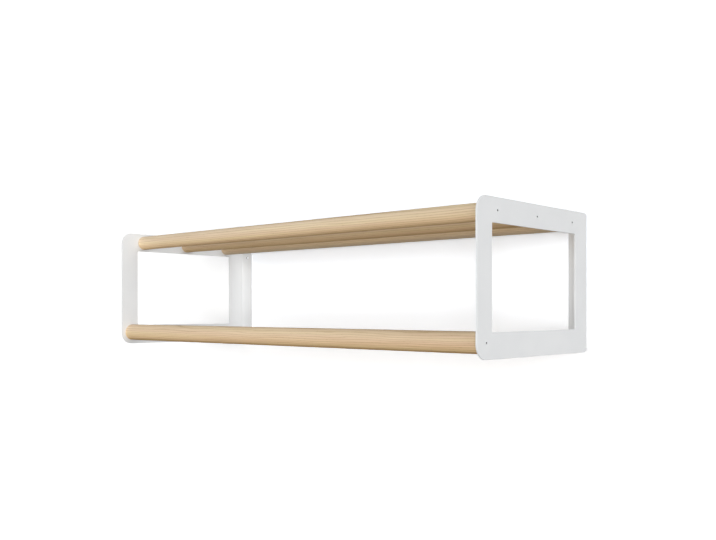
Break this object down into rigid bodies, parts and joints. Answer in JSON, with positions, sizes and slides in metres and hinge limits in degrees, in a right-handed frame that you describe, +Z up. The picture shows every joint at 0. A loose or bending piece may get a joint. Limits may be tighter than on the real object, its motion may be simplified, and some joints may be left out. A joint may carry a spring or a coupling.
{
  "type": "wall coat rack with rod shelf",
  "caption": "Wall rack with bent plate side frames, an open shelf of round wooden rods on top and a thicker hanging rod low at the front.",
  "frame": {"origin": "centre of the rectangle of wall holes, on the wall plane", "axes": "+X along the rack to the right as seen from the room, +Y into the wall, +Z up"},
  "size_m": [0.955, 0.354, 0.25],
  "materials": {
    "powder_coat": "matt white powder coat with a fine orange peel",
    "ash": "clear matt oil on pale ash, fine straight grain along the rod",
    "screw_paint": "satin white paint",
    "zinc_steel": "bright zinc plate"
  },
  "bodies": {
    "root": {"left_frame": "powder_coat", "right_frame": "powder_coat", "front_shelf_rod": "ash", "middle_shelf_rod": "ash", "back_shelf_rod": "ash", "hanging_rod": "ash", "front_shelf_rod_left_screw": "screw_paint", "front_shelf_rod_right_screw": "screw_paint", "middle_shelf_rod_left_screw": "screw_paint", "middle_shelf_rod_right_screw": "screw_paint", "back_shelf_rod_left_screw": "screw_paint", "back_shelf_rod_right_screw": "screw_paint", "hanging_rod_left_screw": "screw_paint", "hanging_rod_right_screw": "screw_paint", "front_shelf_rod_left_insert": "zinc_steel", "front_shelf_rod_right_insert": "zinc_steel", "middle_shelf_rod_left_insert": "zinc_steel", "middle_shelf_rod_right_insert": "zinc_steel", "back_shelf_rod_left_insert": "zinc_steel", "back_shelf_rod_right_insert": "zinc_steel", "hanging_rod_left_insert": "zinc_steel", "hanging_rod_right_insert": "zinc_steel"}
  },
  "joints": []
}
